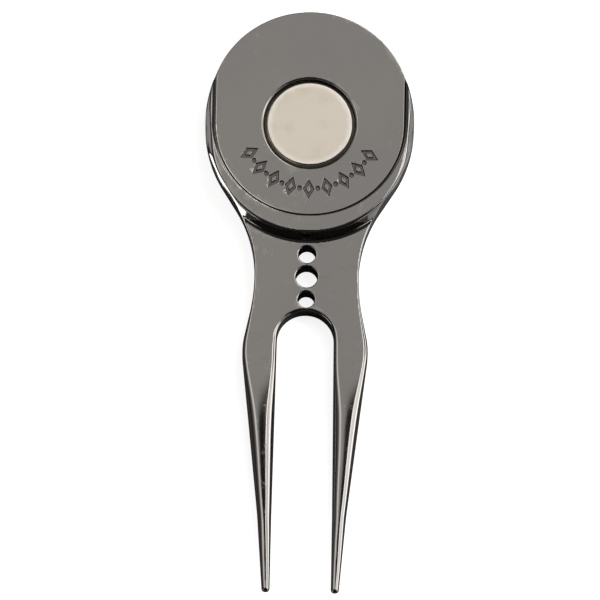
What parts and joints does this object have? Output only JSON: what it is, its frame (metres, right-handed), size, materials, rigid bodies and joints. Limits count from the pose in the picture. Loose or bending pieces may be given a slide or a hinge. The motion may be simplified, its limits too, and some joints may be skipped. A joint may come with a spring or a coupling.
{
  "type": "divot repair tool",
  "caption": "Flat metal golf divot tool with a pierced neck, a fork of tapered prongs and a round head whose U-fenced seat holds a ball marker by a magnet.",
  "frame": {"origin": "under the middle of the bounding box, on the flat back of the head and neck, which the tool lies on", "axes": "+Z is the front with the marker seat, +Y runs from the prong tips to the head, +X is to the right seen from the front"},
  "size_m": [0.0276, 0.0788, 0.005],
  "materials": {
    "black_nickel": "polished zinc die-casting with a black nickel plate",
    "magnet_nickel": "satin warm nickel plate on sintered magnet",
    "epoxy": "cured dark epoxy"
  },
  "bodies": {
    "root": {"fork_body": "black_nickel", "marker_magnet": "magnet_nickel", "magnet_adhesive": "epoxy"}
  },
  "joints": []
}
